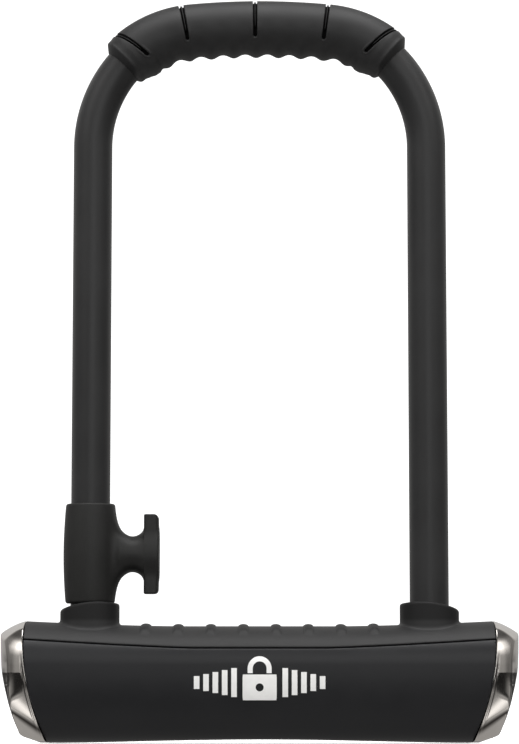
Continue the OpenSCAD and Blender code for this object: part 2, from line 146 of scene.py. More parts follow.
def sample(field, low, step, size):
    """The field on a grid, exact near its surface and only signed elsewhere."""
    counts = [(n + BLOCK - 1) // BLOCK for n in size]
    blocks = np.stack(np.meshgrid(*[np.arange(n) for n in counts], indexing="ij"), -1)
    blocks = blocks.reshape(-1, 3)
    middle = field(low + (blocks * BLOCK + BLOCK / 2 - 0.5) * step)
    # half a block's diagonal, with room for fields steeper than distance
    reach = BLOCK * step * 0.87 * 1.9 + step
    offsets = np.stack(np.meshgrid(*[np.arange(BLOCK)] * 3, indexing="ij"), -1).reshape(-1, 3)
    grid = np.empty([n * BLOCK for n in counts], np.float32)
    view = grid.reshape(counts[0], BLOCK, counts[1], BLOCK, counts[2], BLOCK)
    view[:] = np.where(middle < 0, -9.0, 9.0).reshape(counts)[:, None, :, None, :, None]
    near = blocks[np.abs(middle) < reach]
    for start in range(0, len(near), BATCH):
        batch = near[start:start + BATCH]
        index = (batch[:, None, :] * BLOCK + offsets[None]).reshape(-1, 3)
        grid[index[:, 0], index[:, 1], index[:, 2]] = field(low + index * step)
    return grid[:size[0], :size[1], :size[2]]


def gradient(field, points, reach):
    slope = np.empty_like(points)
    for axis in range(3):
        shift = np.zeros(3)
        shift[axis] = reach
        slope[:, axis] = (field(points + shift) - field(points - shift)) / (2 * reach)
    return slope


def grid_quads(inside, cell_index):
    """One quad round every grid edge that crosses the surface, facing outwards."""
    size = inside.shape
    quads = []
    for axis in range(3):
        across, up = (axis + 1) % 3, (axis + 2) % 3
        first, second = [slice(None)] * 3, [slice(None)] * 3
        first[axis], second[axis] = slice(0, size[axis] - 1), slice(1, size[axis])
        edges = np.argwhere(inside[tuple(first)] != inside[tuple(second)])
        for side in (across, up):
            edges = edges[(edges[:, side] > 0) & (edges[:, side] < size[side] - 1)]
        starts_inside = inside[edges[:, 0], edges[:, 1], edges[:, 2]]
        corners = []
        for step_across, step_up in ((-1, -1), (0, -1), (0, 0), (-1, 0)):
            cell = edges.copy()
            cell[:, across] += step_across
            cell[:, up] += step_up
            corners.append(cell_index[cell[:, 0], cell[:, 1], cell[:, 2]])
        quad = np.stack(corners, 1)
        quad[~starts_inside] = quad[~starts_inside][:, ::-1]
        quads.append(quad)
    return np.concatenate(quads)


def mesh_field(field, low, high, step):
    """Vertices, quads and normals of the field's surface, one vertex per crossed cell."""
    low, high = np.array(low, float), np.array(high, float)
    size = tuple(int(math.ceil(v)) + 1 for v in (high - low) / step)
    values = sample(field, low, step, size)
    inside = values < 0
    count = np.zeros([n - 1 for n in size], np.int8)
    for i, j, k in CORNERS:
        count += inside[i:size[0] - 1 + i, j:size[1] - 1 + j, k:size[2] - 1 + k]
    crossed = (count > 0) & (count < 8)
    cells = np.argwhere(crossed)
    cell_index = np.full(crossed.shape, -1, np.int64)
    cell_index[crossed] = np.arange(len(cells))

    # start at the mean of each cell's edge crossings, then slide onto the surface
    total = np.zeros((len(cells), 3))
    crossings = np.zeros(len(cells))
    for corner, direction in EDGES:
        start = values[tuple((cells + corner).T)]
        end = values[tuple((cells + corner + direction).T)]
        hit = (start < 0) != (end < 0)
        t = start[hit] / (start[hit] - end[hit])
        total[hit] += corner + t[:, None] * direction
        crossings[hit] += 1
    verts = low + (cells + total / crossings[:, None]) * step
    for _ in range(5):
        value = field(verts)
        slope = gradient(field, verts, 0.02)
        steepness = np.maximum((slope * slope).sum(1), 0.05)
        move = np.clip(value / steepness, -0.5 * step, 0.5 * step)
        verts = verts - slope * move[:, None]
    normals = gradient(field, verts, 0.03)
    normals /= np.maximum(np.linalg.norm(normals, axis=1), 1e-9)[:, None]
    return verts, grid_quads(inside, cell_index), normals


def add_object(name, data):
    obj = bpy.data.objects.new(name, data)
    scene.collection.objects.link(obj)
    return obj


def quad_object(name, verts, quads, normals=None):
    """A smooth quad mesh object from millimetre points."""
    mesh = bpy.data.meshes.new(name)
    mesh.vertices.add(len(verts))
    mesh.vertices.foreach_set("co", (verts * MM).astype(np.float32).ravel())
    mesh.loops.add(quads.size)
    mesh.loops.foreach_set("vertex_index", quads.astype(np.int32).ravel())
    mesh.polygons.add(len(quads))
    mesh.polygons.foreach_set("loop_start", np.arange(0, quads.size, 4, dtype=np.int32))
    mesh.polygons.foreach_set("loop_total", np.full(len(quads), 4, np.int32))
    mesh.update(calc_edges=True)
    mesh.validate()
    mesh.polygons.foreach_set("use_smooth", np.ones(len(mesh.polygons), bool))
    if normals is not None:
        mesh.normals_split_custom_set_from_vertices([tuple(n) for n in normals])
    mesh.update()
    return add_object(name, mesh)


# ------------------------------------------------------------------ bow path
def by_arc(in_crown, in_mid, crown, mid, low):
    return np.where(in_crown, crown, np.where(in_mid, mid, low))


def bow_at(distance):
    """Centre (x, z) and outward direction (x, z) at a signed distance from the bow's middle."""
    along = np.abs(distance)
    arcs = along < CROWN_END, along < MID_END
    low_angle = np.where(along < LOW_END, LOW_ANGLE - (along - MID_END) / LOW_R, 0.0)
    angle = by_arc(*arcs, math.pi / 2 - along / CROWN_R,
                   MID_ANGLE - (along - CROWN_END) / MID_R, low_angle)
    centre_z = by_arc(*arcs, CROWN_Z, MID_Z, LOW_Z)
    centre_z = np.where(along > LOW_END, LEG_TOP_Z - (along - LOW_END), centre_z)
    radius = by_arc(*arcs, CROWN_R, MID_R, LOW_R)
    x = by_arc(*arcs, CROWN_X, MID_X, LOW_X) + radius * np.cos(angle)
    z = centre_z + radius * np.sin(angle)
    side = np.where(distance < 0, -1.0, 1.0)
    return x * side, z, np.cos(angle) * side, np.sin(angle)


def bow_local(points):
    """Signed distance along the bow's arcs, outward offset from the centre line, and y."""
    x, y, z = points.T
    side_x = np.abs(x)
    crown_angle = np.arctan2(z - CROWN_Z, side_x - CROWN_X)
    mid_angle = np.arctan2(z - MID_Z, side_x - MID_X)
    low_angle = np.arctan2(z - LOW_Z, side_x - LOW_X)
    arcs = crown_angle >= MID_ANGLE, mid_angle >= LOW_ANGLE
    along = by_arc(*arcs, CROWN_R * (math.pi / 2 - crown_angle),
                   CROWN_END + MID_R * (MID_ANGLE - mid_angle),
                   MID_END + LOW_R * (LOW_ANGLE - low_angle))
    out = by_arc(*arcs, np.hypot(side_x - CROWN_X, z - CROWN_Z) - CROWN_R,
                 np.hypot(side_x - MID_X, z - MID_Z) - MID_R,
                 np.hypot(side_x - LOW_X, z - LOW_Z) - LOW_R)
    return along * np.where(x < 0, -1.0, 1.0), out, y


# ------------------------------------------------------------------ shackle coating
COAT_SEGMENTS = 72
COAT_BEVEL = 0.15
COAT_INNER_R = BAR_R + 0.03


def make_coating():
    """A sleeve swept along the whole bow, bevelled outside at both ends."""
    end = LOW_END + (LEG_TOP_Z - LEG_END_Z)
    half = np.concatenate([
        np.linspace(0, CROWN_END, 14)[:-1], np.linspace(CROWN_END, MID_END, 22)[:-1],
        np.linspace(MID_END, LOW_END, 26), np.linspace(LOW_END + 2.5, end - 0.6, 64)])
    path = np.concatenate([-half[::-1], half[1:]])
    # (distance along the bow, radius), up the outside and back along the inside
    stations = [(-end, COAT_INNER_R), (-end, COAT_R - COAT_BEVEL), (-end + COAT_BEVEL, COAT_R)]
    stations += [(distance, COAT_R) for distance in path]
    stations += [(end - COAT_BEVEL, COAT_R), (end, COAT_R - COAT_BEVEL), (end, COAT_INNER_R)]
    stations += [(distance, COAT_INNER_R) for distance in path[::-1]]

    turn = np.arange(COAT_SEGMENTS) * 2 * math.pi / COAT_SEGMENTS
    rings = []
    for distance, radius in stations:
        x, z, out_x, out_z = bow_at(distance)
        out, y = radius * np.cos(turn), radius * np.sin(turn)
        rings.append(np.stack([x + out_x * out, y, z + out_z * out], 1))
    ring = np.arange(len(rings))[:, None]
    next_ring = (ring + 1) % len(rings)
    spoke = np.arange(COAT_SEGMENTS)[None]
    next_spoke = (spoke + 1) % COAT_SEGMENTS
    quads = np.stack([ring * COAT_SEGMENTS + spoke, ring * COAT_SEGMENTS + next_spoke,
                      next_ring * COAT_SEGMENTS + next_spoke,
                      next_ring * COAT_SEGMENTS + spoke], -1).reshape(-1, 4)
    obj = quad_object("coating_skin", np.concatenate(rings), quads)
    obj.data.set_sharp_from_angle(angle=math.radians(50))
    return obj


# ------------------------------------------------------------------ handle
GRIP_R = 11.05
GRIP_SHIFT = -1.4                                    # grip's middle along the bow
UNDERSIDE = 11                                       # depth where the scallops are even
SCALLOP_PITCH = 8.7
# distance along the grip, sideways lean
GRIP_SLOTS = [(-0.35, 0.0), (27.35, 0.6), (-27.9, 0.6), (50.4, 4.2), (-50.5, 4.2)]


def grip_local(points):
    """Distance from the grip's middle, outward offset, radius and angle round the bow."""
    along, out, y = bow_local(points)
    angle = np.degrees(np.arctan2(np.abs(y), out))   # 0 on the outside, 180 underneath
    return along - GRIP_SHIFT, out, np.hypot(out, y), angle


def slot_distances(along, angle):
    """For each slot, the distance across it and the distance from its centre line."""
    beyond = np.radians(np.maximum(angle - 114.0, 0)) * 11.0
    for centre, lean in GRIP_SLOTS:
        side = 1.0 if centre >= 0 else -1.0
        middle = centre - side * lean * (np.clip(angle, 0, 130) / 116.0) ** 1.5
        across = along - middle
        yield across, np.hypot(across, beyond)


def grip_field(points):
    along, out, rho, angle = grip_local(points)
    dist = np.abs(along)
    under = ease(112, 150, angle)
    # distance along the underside, where the scallops are evenly spaced
    run = np.where(dist < CROWN_END, dist * (CROWN_R - UNDERSIDE) / CROWN_R,
                   CROWN_END * (CROWN_R - UNDERSIDE) / CROWN_R
                   + (dist - CROWN_END) * (MID_R - UNDERSIDE) / MID_R)
    wave = 0.5 + 0.5 * np.cos(2 * math.pi * run / SCALLOP_PITCH)
    scallop = (wave ** 1.15 - 1.0) * 1.35 * (1 - ease(36.5, 39.0, run))
    # faint flutes carry the scallops up the sides
    flute = (0.22 * (wave - 1) * ease(78, 100, angle)
             * (1 - ease(120, 150, angle)) * (1 - ease(34.0, 38.0, run)))
    radius = GRIP_R + 0.1 * under + under * scallop + flute
    # the underside steps in and tapers at the two ends
    radius = (radius - under * ease(40.5, 43.0, run) * 0.75
              - under * np.clip((run - 42.5) / 6.5, 0, 1.3) * 1.25)
    # a shallow waist before the end lip
    radius = radius - 0.45 * ease(50.5, 53.5, dist) + 0.15 * np.exp(-((dist - 54.2) / 1.1) ** 2)
    solid = rho - radius
    # end faces, slanted a little, with a rolled lip
    end = dist - 0.035 * (10.1 - out)
    solid = soft_max(solid, (end - 54.1) * 0.80 + (rho - 10.4) * 0.55, 0.4)
    solid = soft_max(solid, end - 56.2, 0.4)
    # slots with a low rib along the floor and a thin raised lip round their ends
    for across, from_line in slot_distances(along, angle):
        wall = from_line - 0.80
        solid = solid - 0.30 * np.exp(-((wall - 0.5) / 0.42) ** 2) * ease(84, 112, angle)
        rib = 0.98 * np.exp(-(across / 0.33) ** 2) * (1 - ease(92, 108, angle))
        floor_depth = (radius - 1.15 + rib) - rho
        solid = cut(solid, soft_max(wall, floor_depth, 0.12), soft=0.15)
    return cut(solid, rho - (COAT_R + 0.03))


def slot_painted_shade(points):
    """How deep a point of the handle lies in one of the slots, 0 to 1: where shade is painted
    into the slots.
    """
    along, _, rho, angle = grip_local(points)
    painted_shade = np.zeros_like(along)
    for _, from_line in slot_distances(along, angle):
        painted_shade = np.maximum(painted_shade, 1 - ease(0.62, 0.95, from_line))
    return painted_shade * ease(0.24, 0.62, GRIP_R - rho)


# ------------------------------------------------------------------ crossbar body
def split_x(z):
    """Distance from the middle of the joint between covers and end caps."""
    return 89.15 - 8.9 * np.clip((41 - z) / 41, 0, 2) ** 1.95


def parting_z(x):
    """Height of the line between the two covers."""
    return 35.8 + 3.3 * np.clip((np.abs(x) - 25) / 64, 0, 1.1) ** 1.25


def top_z(x):
    return 44.4 + 1.9 * np.clip((np.abs(x) - 30) / 59, 0, 1.1) ** 1.5


def base_z(x):
    side_x = np.abs(x)
    arch = np.where(side_x < 76, np.cos(np.radians(90 * np.minimum(side_x, 76) / 76)), 0.0)
    return 0.25 + 1.25 * arch ** 1.5


def above_below(z, above, below):
    """One value above the bar's widest height and another below it."""
    return np.where(z > WIDE_Z, above, below)


def section_power(z):
    return above_below(z, UPPER_POWER, LOWER_POWER)


def half_depth(z, upper_h, lower_h):
    """Half depth at a height of a section with these upper and lower half heights."""
    reach = np.abs(z - WIDE_Z) / above_below(z, upper_h, lower_h)
    power = section_power(z)
    return BODY_Y * np.clip(1 - np.clip(reach, 0, 1) ** power, 0.0, 1) ** (1 / power)


def body_field(points):
    x, y, z = points.T
    height = above_below(z, top_z(x) - WIDE_Z, LOWER_H)
    power = section_power(z)
    u = np.abs(y) / BODY_Y + 1e-6
    v = np.abs(z - WIDE_Z) / height + 1e-6
    shape = (u ** power + v ** power) ** (1 / power)
    slope = shape ** (1 - power) * np.hypot(u ** (power - 1) / BODY_Y, v ** (power - 1) / height)
    return (shape - 1) / np.maximum(slope, 0.012)


def trim_at_caps(solid, x, z):
    return soft_max(solid, np.abs(x) - split_x(z) + 0.12, 0.15)


# ------------------------------------------------------------------ top cover
RIDGE_XS = [(i - 3.5) * 12.4 for i in range(8)]
BOOT_R = 11.3
BOOT_TOP_Z, BOOT_DOME_R = 53.6, 38.5


def boot_field(from_leg, y, z):
    """Collar round a leg, a thin rim round a dished top; from_leg is the x offset outwards."""
    plan = (np.abs(from_leg / BOOT_R) ** 2.5 + np.abs(y / BOOT_R) ** 2.5 + 1e-9) ** (1 / 2.5)
    dome = np.hypot(from_leg + 4, z - (BOOT_TOP_Z - BOOT_DOME_R)) - BOOT_DOME_R
    boot = soft_max((plan - 1) * BOOT_R, dome, 1.0)
    boot = cut(boot, np.maximum(np.hypot(from_leg, y) - 9.9, 52.7 - z), soft=0.35)
    return soft_max(boot, 38.0 - z, 0.5)


def top_cover_field(points):
    x, y, z = points.T
    body = body_field(points)
    # ridges swell out of the top and fade down the front and back
    ridge = np.zeros_like(x)
    for centre in RIDGE_XS:
        ridge = np.maximum(ridge, np.sqrt(np.clip(1 - ((x - centre) / 1.9) ** 2, 0, 1)))
    solid = body - 0.86 * ridge * (1 - ease(10.5, 14.5, np.abs(y)))
    # rubber edge rolls under along the parting line
    solid = soft_max(solid, parting_z(x) + 0.13 - z, 0.9)
    from_leg = np.abs(x) - LEG_X
    solid = soft_min(solid, boot_field(from_leg, y, z), 1.1)
    solid = trim_at_caps(solid, x, z)
    # leg hole, wider low down
    leg_r = np.hypot(from_leg, y)
    hole = np.minimum(leg_r - (COAT_R + 0.06), np.maximum(leg_r - 9.06, z - 44.8))
    solid = cut(solid, hole, soft=0.5)
    # room for the lower cover's tongue
    tongue = np.maximum(body + 1.9, z - parting_z(x) - 1.9)
    solid = cut(solid, np.maximum(tongue, parting_z(x) - 3 - z))
    return cut(solid, tube_bore(points))


def boot_and_ridge_painted_shade(points):
    """Painted shade on the top cover: the boots and the ridges, 0 to 1."""
    x, y, z = points.T
    boot = ease(45.6, 47.4, z) * (1 - ease(12.2, 13.4, np.hypot(np.abs(x) - LEG_X, y)))
    ridge = np.zeros_like(x)
    for centre in RIDGE_XS:
        ridge = np.maximum(ridge, 1 - ease(1.2, 2.3, np.abs(x - centre)))
    on_top = (1 - ease(11.0, 15.0, np.abs(y))) * ease(42.0, 44.0, z)
    return np.maximum(boot, 0.62 * ridge * on_top)


# ------------------------------------------------------------------ lower cover
WINDOW_X = 6.5


def lower_cover_field(points):
    x, y, z = points.T
    body = body_field(points)
    shell = soft_max(body, z - parting_z(x) + 0.10, 0.35)
    tongue = soft_max(body + 2.1, z - parting_z(x) - 1.7, 0.3)
    solid = soft_max(np.minimum(shell, tongue), base_z(x) - z, 0.8)
    solid = trim_at_caps(solid, x, z)
    # keyway window in a shallow dish, with a pocket above it
    from_x, from_y = np.abs(x - WINDOW_X), np.abs(y)
    dish = soft_max(soft_max(from_x - 18.5, from_y - 8.2, 4.0), z - 2.0, 0.6)
    window = np.maximum(soft_max(from_x - 14.1, from_y - 5.0, 2.2), z - 3.0)
    solid = cut(solid, dish, soft=0.7)
    solid = cut(solid, box_field(points, (-9.3, -7.3, 2.4), (22.6, 7.3, 4.3)))
    solid = cut(solid, window, soft=0.4)
    # round well in the middle
    solid = cut(solid, np.maximum(np.hypot(x, y) - 12.1, 4.2 - z))
    # counterbored screw holes, and clearance at the end caps' screws
    screw_r = np.hypot(np.abs(x) - COVER_SCREW_X, y)
    solid = cut(solid, screw_r - 1.6)
    solid = cut(solid, np.maximum(screw_r - 3.2, z - 3.7), soft=0.4)
    solid = cut(solid, np.hypot(np.abs(x) - CAP_SCREW_X, y) - 3.4)
    return cut(solid, tube_bore(points))


# ------------------------------------------------------------------ end caps
# Corner points of the flat facets low on the front of the +X cap.
LEAF_POINTS = np.array(((88.06, -18.92, 22.6), (94.24, -15.22, 16.1), (82.6, -15.91, 5.55)))
FOOT_POINTS = np.array(((93.55, -14.93, 13.9), (82.6, -15.91, 5.75), (86.0, -9.5, 1.2)))
# outline of the end seen from the front: height, distance in from the end
END_OUTLINE = np.array((
    (-4.0, 10.7), (3.5, 7.4), (9.5, 4.8), (15.1, 3.0), (22.1, 1.15),
    (28.7, 0.33), (34.0, 0.08), (39.0, 0.0), (50.0, 0.0)))


def front_normal(corners):
    """Unit normal of the plane through three points, pointing to the front."""
    normal = np.cross(corners[1] - corners[0], corners[2] - corners[0])
    normal /= np.linalg.norm(normal)
    return normal if normal[1] < 0 else -normal


LEAF_NORMAL, FOOT_NORMAL = front_normal(LEAF_POINTS), front_normal(FOOT_POINTS)
LEAF_LENGTH = np.linalg.norm(LEAF_POINTS[1] - LEAF_POINTS[0])
LEAF_EDGE = (LEAF_POINTS[1] - LEAF_POINTS[0]) / LEAF_LENGTH
END_ZS = np.linspace(-4, 50, 109)
END_INS = np.interp(END_ZS, END_OUTLINE[:, 0], END_OUTLINE[:, 1])
for _ in range(6):                                   # smooth the outline's corners
    END_INS[1:-1] = 0.25 * END_INS[:-2] + 0.5 * END_INS[1:-1] + 0.25 * END_INS[2:]


def leaf_foot(points):
    """Heights over the bowed leaf facet and the foot facet, front and back alike."""
    q = np.stack([points[:, 0], -np.abs(points[:, 1]), points[:, 2]], 1)
    along = np.clip(((q - LEAF_POINTS[0]) @ LEAF_EDGE) / LEAF_LENGTH, -0.6, 1.3)
    leaf = (q - LEAF_POINTS[0]) @ LEAF_NORMAL - 1.1 * along * (1 - along)
    return leaf, (q - FOOT_POINTS[0]) @ FOOT_NORMAL - 0.42


def crease(points):
    """Narrow engraved line where the leaf facet meets the foot, wider towards the covers; also
    the mask of the caps' painted shade.
    """
    leaf, foot = leaf_foot(points)
    width = 0.27 + 0.03 * np.clip(93.5 - points[:, 0], 0, 11)
    return np.exp(-((leaf - foot) / width) ** 2) * ease(-1.3, -0.2, leaf)


def cap_field(points):
    """End cap at +X."""
    x, y, z = points.T
    depth = np.abs(y)
    from_cover = x - split_x(z)
    # half depth follows the covers at the joint, then a fuller section that draws in low down
    below = np.clip(26.7 - z, 0, 12)
    drop = 0.055 * below + 0.003 * below * below
    edge_y = half_depth(z, 20.0, 33.0)
    full_y = half_depth(z, 20.0, 60.0) - drop
    edge_y = edge_y + (full_y - edge_y) * ease(0.3, 3.0, from_cover) + 0.25
    # broad front panel and rounded end, meeting in an upright crease
    front = (depth - edge_y + 0.0205 * np.clip(x - 80.5, 0, None) ** 2) * 0.88
    end_x = BAR_END_X - 0.05 - np.interp(z, END_ZS, END_INS) - 0.07 * np.clip(26.7 - z, 0, 4.3)
    end = (x - end_x + depth * depth * (0.0062 + 0.0085 * ease(13, 31, z))) * 0.90
    solid = soft_max(front, end, 0.8)
    # sloping roof
    run = np.clip(x - 89.57, -3, None)
    roof_z = 46.32 - 0.26 * run - 0.0255 * run * run
    fall = 5.2 + 0.055 * np.clip(run, 0, None) ** 2
    solid = soft_max(solid, (z - roof_z + fall * (depth / 19.6) ** 1.5) * 0.80, 0.5)
    leaf, foot = leaf_foot(points)
    solid = soft_max(solid, leaf, 0.30)
    solid = soft_max(solid, foot, 0.35)
    solid = solid + 0.22 * crease(points)
    # underside, rising towards the end
    base = (0.18 + 0.34 * np.clip(x - 83.2, 0, None) + 0.09 * np.clip(x - 89.0, 0, None) ** 2
            + depth * depth / 170.0 - z) * 0.9
    solid = soft_max(solid, base, 0.5)
    # fine shadow groove beside the raised rim at the covers
    groove = 0.12 * np.exp(-((from_cover - 1.2) / 0.40) ** 2)
    solid = solid + groove * ease(1.0, 3.0, z) * (1 - ease(28, 36, z))
    solid = soft_max(solid, -z, 0.4)
    solid = soft_max(solid, split_x(z) + 0.10 - x, 0.35)
    solid = cut(solid, np.maximum(tube_bore(points), x - 88.5))
    # screw hole and its recess
    screw_r = np.hypot(x - CAP_SCREW_X, y)
    solid = cut(solid, np.maximum(screw_r - 1.9, z - 12))
    return cut(solid, np.maximum(screw_r - 3.3, z - 4.5), soft=0.35)


def cap_screws_field(points):
    """Countersunk hex socket screws sitting well inside the caps' recesses."""
    z = points[:, 2]
    x, y = np.abs(points[:, 0]) - CAP_SCREW_X, points[:, 1]
    radius = np.hypot(x, y)
    head = soft_max(radius - np.minimum(3.0, 3.0 - 1.3 * (z - 3.3)), 2.55 - z, 0.25)
    head = np.maximum(head * 0.7, z - 4.45)
    shank = np.maximum(np.maximum(radius - 1.5, 2.9 - z), z - 10.4)
    slants = np.maximum(np.abs(0.5 * x + 0.866 * y), np.abs(0.5 * x - 0.866 * y))
    socket = np.maximum(np.abs(x), slants) - 1.2
    return cut(np.minimum(head, shank), np.maximum(socket, z - 3.7))


# ------------------------------------------------------------------ bracket collar
def collar_field(points):
    x, y, z = points.T
    rise = z - NECK_Z
    radius = np.hypot(x + LEG_X, y)
    t = np.clip((z - COLLAR_Z0) / (COLLAR_Z1 - COLLAR_Z0), 0, 1)
    barrel = radius - (9.38 + 0.92 * np.sin(math.pi * t) ** 0.85)
    barrel = soft_max(barrel, z - COLLAR_Z1, 1.0)
    barrel = soft_max(barrel, COLLAR_Z0 - z, 1.3)
    # neck from the barrel to the head; its fillets open up and down, hardly front and back
    head_x0 = HEAD_X1 - 5.75
    from_waist = x - (head_x0 - 4.45)
    head_flare = 4.7 - np.sqrt(np.clip(4.7 ** 2 - np.clip(from_waist, 0, 4.6) ** 2, 0, None))
    barrel_flare = 0.13 * np.clip(-from_waist, 0, 7.5) ** 2
    neck_z = NECK_R + 0.3 + head_flare + barrel_flare
    neck_y = (NECK_R + 0.03 * head_flare - 0.2 * ease(0.5, 5.0, from_waist)
              - 1.4 * ease(4.5, 9.5, -from_waist))
    shape = np.sqrt((y / neck_y) ** 2 + (rise / neck_z) ** 2 + 1e-9)
    neck = (shape - 1) * np.minimum(neck_y, neck_z) * 0.8
    neck = soft_max(neck, x - HEAD_X1, 1.1)
    neck = np.maximum(neck, -LEG_X + 3 - x)
    solid = soft_min(barrel, neck, 2.4)
    # hammer head with soft edges, a little crowned on its face
    head = soft_max(np.abs(y) - HEAD_W / 2 + 0.45, head_x0 - x, 1.5)
    head = soft_max(head, np.abs(rise) - 15.2, 0.45)
    head = soft_max(head, x - HEAD_X1 + 0.0009 * rise * rise, 1.9)
    solid = soft_min(solid, head, 0.8)
    # the screw's boss at the back
    screw_r = np.hypot(x + LEG_X, rise)
    solid = soft_min(solid, np.maximum(screw_r - 3.4, np.abs(y - 8.6) - 2.4), 1.2)
    solid = cut(solid, radius - (COAT_R + 0.95), soft=0.4)
    return cut(solid, np.maximum(screw_r - 1.55, 2.0 - y), soft=0.3)


# ------------------------------------------------------------------ shader helpers
def connect(tree, *pairs):
    for source, target in pairs:
        tree.links.new(source, target)


def set_inputs(node, values):
    for socket, value in values.items():
        node.inputs[socket].default_value = value


def add_node(tree, kind, values=None, **settings):
    node = tree.nodes.new("ShaderNode" + kind)
    for key, value in settings.items():
        setattr(node, key, value)
    set_inputs(node, values or {})
    return node


def new_material(name):
    """A material with its node tree and its Principled shader."""
    material = bpy.data.materials.new(name)
    material.use_nodes = True
    return material, material.node_tree, material.node_tree.nodes["Principled BSDF"]


def noise(tree, scale, detail, rough=0.55, stretch=(1.0, 1.0, 1.0)):
    """Noise in object coordinates."""
    texture = add_node(tree, "TexNoise", {"Scale": scale, "Detail": detail, "Roughness": rough})
    coords = add_node(tree, "TexCoord")
    mapping = add_node(tree, "Mapping", {"Scale": stretch})
    connect(tree, (coords.outputs["Object"], mapping.inputs["Vector"]),
            (mapping.outputs["Vector"], texture.inputs["Vector"]))
    return texture.outputs["Fac"]


def ramp(tree, source, first, second, start=0.3, end=0.7):
    """Blend between two colours or two grey values."""
    node = add_node(tree, "ValToRGB")
    for stop, position, value in zip(node.color_ramp.elements, (start, end), (first, second)):
        stop.position = position
        stop.color = (value, value, value, 1) if isinstance(value, float) else (*value, 1)
    connect(tree, (source, node.inputs["Fac"]))
    return node.outputs["Color"]


def bump(tree, height, strength, depth, under=None):
    node = add_node(tree, "Bump", {"Strength": strength, "Distance": depth})
    connect(tree, (height, node.inputs["Height"]))
    if under is not None:
        connect(tree, (under, node.inputs["Normal"]))
    return node.outputs["Normal"]


def worn_edges(tree, colour, clouds, wear):
    """Show the wear colour on convex edges, broken up by the clouds."""
    geometry = add_node(tree, "NewGeometry")
    mix = add_node(tree, "Mix", data_type="RGBA")
    edge = ramp(tree, geometry.outputs["Pointiness"], 0.0, 1.0, start=0.53, end=0.62)
    amount = add_node(tree, "Math", operation="MULTIPLY")
    connect(tree, (edge, amount.inputs[0]), (clouds, amount.inputs[1]),
            (amount.outputs[0], mix.inputs["Factor"]), (colour, mix.inputs["A"]))
    set_inputs(mix, {"B": (*wear, 1)})
    return mix.outputs["Result"]


def mould(name, dark, light, rough, grain, clouds, ripple=None, metallic=0.0, spec=0.5,
          rough_span=0.08, sheen=0.0, wear=None):
    """Moulded plastic, rubber or metal: cloudy colour, uneven gloss and fine grain.

    clouds is a noise scale; grain and ripple are (noise scale, bump depth in metres)."""
    material, tree, shader = new_material(name)
    cloud = noise(tree, clouds, detail=5.0)
    colour = ramp(tree, cloud, dark, light)
    fine = noise(tree, grain[0], detail=2.0, rough=0.6)
    if wear is not None:
        colour = worn_edges(tree, colour, cloud, wear)
    gloss = ramp(tree, cloud, rough - rough_span, rough + rough_span, start=0.25, end=0.75)
    normal = bump(tree, fine, strength=0.35, depth=grain[1])
    if ripple:
        wavy = noise(tree, ripple[0], detail=3.0)
        normal = bump(tree, wavy, strength=0.3, depth=ripple[1], under=normal)
    connect(tree, (colour, shader.inputs["Base Color"]), (gloss, shader.inputs["Roughness"]),
            (normal, shader.inputs["Normal"]))
    set_inputs(shader, {"Metallic": metallic, "Specular IOR Level": spec,
                        "Sheen Weight": sheen, "Sheen Roughness": 0.5})
    return material


def brushed(name, dark, light, rough, stretch, scale=900.0):
    """Drawn or turned metal, its grain drawn out along the axes with a low stretch."""
    material, tree, shader = new_material(name)
    colour = ramp(tree, noise(tree, 45.0, detail=4.0), dark, light)
    line = noise(tree, scale, detail=3.0, rough=0.6, stretch=stretch)
    gloss = ramp(tree, line, rough - 0.08, rough + 0.1)
    normal = bump(tree, line, strength=0.25, depth=0.00004)
    connect(tree, (colour, shader.inputs["Base Color"]), (gloss, shader.inputs["Roughness"]),
            (normal, shader.inputs["Normal"]))
    set_inputs(shader, {"Metallic": 1.0})
    return material


def paint_shade(key, dark, spec=None):
    """Paint shade into a material: darken it, and dull it to spec, where the per-vertex shade
    attribute rises to 1.
    """
    tree = MATERIALS[key].node_tree
    shader = tree.nodes["Principled BSDF"]
    painted_shade = add_node(tree, "Attribute", attribute_name="painted_shade").outputs["Fac"]
    mix = add_node(tree, "Mix", {"B": (*dark, 1)}, data_type="RGBA")
    connect(tree, (painted_shade, mix.inputs["Factor"]),
            (shader.inputs["Base Color"].links[0].from_socket, mix.inputs["A"]),
            (mix.outputs["Result"], shader.inputs["Base Color"]))
    if spec is not None:
        specular = shader.inputs["Specular IOR Level"]
        fade = add_node(tree, "MapRange", {"To Min": specular.default_value, "To Max": spec})
        connect(tree, (painted_shade, fade.inputs["Value"]), (fade.outputs["Result"], specular))


